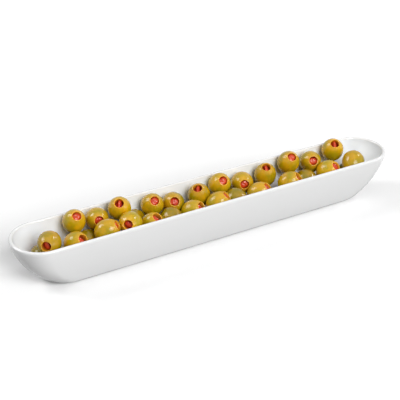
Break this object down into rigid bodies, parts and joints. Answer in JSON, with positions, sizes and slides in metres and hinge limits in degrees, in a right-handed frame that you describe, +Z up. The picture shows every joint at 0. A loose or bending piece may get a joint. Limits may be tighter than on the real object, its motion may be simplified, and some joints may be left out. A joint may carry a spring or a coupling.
{
  "type": "olive dish",
  "caption": "Long, narrow porcelain dish with upswept rounded ends, heaped with pimento-stuffed green olives that lift out one by one.",
  "frame": {"origin": "middle of the foot ring, on the plane that the dish stands on", "axes": "+X along the dish, +Y across it towards the far long wall of the picture, +Z up"},
  "size_m": [0.32, 0.047, 0.0475],
  "materials": {
    "porcelain": "gloss",
    "olive_flesh": "gloss",
    "pimento_flesh": "gloss"
  },
  "bodies": {
    "dish": {"dish": "porcelain", "low_olives": "olive_flesh", "low_pimentos": "pimento_flesh"},
    "stuffed_olive_1": {"olive_1": "olive_flesh", "pimento_1": "pimento_flesh"},
    "stuffed_olive_2": {"olive_2": "olive_flesh", "pimento_2": "pimento_flesh"},
    "stuffed_olive_3": {"olive_3": "olive_flesh", "pimento_3": "pimento_flesh"},
    "stuffed_olive_4": {"olive_4": "olive_flesh", "pimento_4": "pimento_flesh"},
    "stuffed_olive_5": {"olive_5": "olive_flesh", "pimento_5": "pimento_flesh"},
    "stuffed_olive_6": {"olive_6": "olive_flesh", "pimento_6": "pimento_flesh"},
    "stuffed_olive_7": {"olive_7": "olive_flesh", "pimento_7": "pimento_flesh"},
    "stuffed_olive_8": {"olive_8": "olive_flesh", "pimento_8": "pimento_flesh"},
    "stuffed_olive_9": {"olive_9": "olive_flesh", "pimento_9": "pimento_flesh"},
    "stuffed_olive_10": {"olive_10": "olive_flesh", "pimento_10": "pimento_flesh"},
    "stuffed_olive_11": {"olive_11": "olive_flesh", "pimento_11": "pimento_flesh"},
    "stuffed_olive_12": {"olive_12": "olive_flesh", "pimento_12": "pimento_flesh"},
    "stuffed_olive_13": {"olive_13": "olive_flesh", "pimento_13": "pimento_flesh"},
    "stuffed_olive_14": {"olive_14": "olive_flesh", "pimento_14": "pimento_flesh"},
    "stuffed_olive_15": {"olive_15": "olive_flesh", "pimento_15": "pimento_flesh"},
    "stuffed_olive_16": {"olive_16": "olive_flesh", "pimento_16": "pimento_flesh"},
    "stuffed_olive_17": {"olive_17": "olive_flesh", "pimento_17": "pimento_flesh"},
    "stuffed_olive_18": {"olive_18": "olive_flesh", "pimento_18": "pimento_flesh"},
    "stuffed_olive_19": {"olive_19": "olive_flesh", "pimento_19": "pimento_flesh"},
    "stuffed_olive_20": {"olive_20": "olive_flesh", "pimento_20": "pimento_flesh"},
    "stuffed_olive_21": {"olive_21": "olive_flesh", "pimento_21": "pimento_flesh"},
    "stuffed_olive_22": {"olive_22": "olive_flesh", "pimento_22": "pimento_flesh"},
    "stuffed_olive_23": {"olive_23": "olive_flesh", "pimento_23": "pimento_flesh"}
  },
  "joints": [
    {"name": "lift_1", "type": "slide", "parent": "dish", "child": "stuffed_olive_1", "axis": [0, 0, 1], "range_m": [0, 0.05]},
    {"name": "lift_2", "type": "slide", "parent": "dish", "child": "stuffed_olive_2", "axis": [0, 0, 1], "range_m": [0, 0.05]},
    {"name": "lift_3", "type": "slide", "parent": "dish", "child": "stuffed_olive_3", "axis": [0, 0, 1], "range_m": [0, 0.05]},
    {"name": "lift_4", "type": "slide", "parent": "dish", "child": "stuffed_olive_4", "axis": [0, 0, 1], "range_m": [0, 0.05]},
    {"name": "lift_5", "type": "slide", "parent": "dish", "child": "stuffed_olive_5", "axis": [0, 0, 1], "range_m": [0, 0.05]},
    {"name": "lift_6", "type": "slide", "parent": "dish", "child": "stuffed_olive_6", "axis": [0, 0, 1], "range_m": [0, 0.05]},
    {"name": "lift_7", "type": "slide", "parent": "dish", "child": "stuffed_olive_7", "axis": [0, 0, 1], "range_m": [0, 0.05]},
    {"name": "lift_8", "type": "slide", "parent": "dish", "child": "stuffed_olive_8", "axis": [0, 0, 1], "range_m": [0, 0.05]},
    {"name": "lift_9", "type": "slide", "parent": "dish", "child": "stuffed_olive_9", "axis": [0, 0, 1], "range_m": [0, 0.05]},
    {"name": "lift_10", "type": "slide", "parent": "dish", "child": "stuffed_olive_10", "axis": [0, 0, 1], "range_m": [0, 0.05]},
    {"name": "lift_11", "type": "slide", "parent": "dish", "child": "stuffed_olive_11", "axis": [0, 0, 1], "range_m": [0, 0.05]},
    {"name": "lift_12", "type": "slide", "parent": "dish", "child": "stuffed_olive_12", "axis": [0, 0, 1], "range_m": [0, 0.05]},
    {"name": "lift_13", "type": "slide", "parent": "dish", "child": "stuffed_olive_13", "axis": [0, 0, 1], "range_m": [0, 0.05]},
    {"name": "lift_14", "type": "slide", "parent": "dish", "child": "stuffed_olive_14", "axis": [0, 0, 1], "range_m": [0, 0.05]},
    {"name": "lift_15", "type": "slide", "parent": "dish", "child": "stuffed_olive_15", "axis": [0, 0, 1], "range_m": [0, 0.05]},
    {"name": "lift_16", "type": "slide", "parent": "dish", "child": "stuffed_olive_16", "axis": [0, 0, 1], "range_m": [0, 0.05]},
    {"name": "lift_17", "type": "slide", "parent": "dish", "child": "stuffed_olive_17", "axis": [0, 0, 1], "range_m": [0, 0.05]},
    {"name": "lift_18", "type": "slide", "parent": "dish", "child": "stuffed_olive_18", "axis": [0, 0, 1], "range_m": [0, 0.05]},
    {"name": "lift_19", "type": "slide", "parent": "dish", "child": "stuffed_olive_19", "axis": [0, 0, 1], "range_m": [0, 0.05]},
    {"name": "lift_20", "type": "slide", "parent": "dish", "child": "stuffed_olive_20", "axis": [0, 0, 1], "range_m": [0, 0.05]},
    {"name": "lift_21", "type": "slide", "parent": "dish", "child": "stuffed_olive_21", "axis": [0, 0, 1], "range_m": [0, 0.05]},
    {"name": "lift_22", "type": "slide", "parent": "dish", "child": "stuffed_olive_22", "axis": [0, 0, 1], "range_m": [0, 0.05]},
    {"name": "lift_23", "type": "slide", "parent": "dish", "child": "stuffed_olive_23", "axis": [0, 0, 1], "range_m": [0, 0.05]}
  ]
}
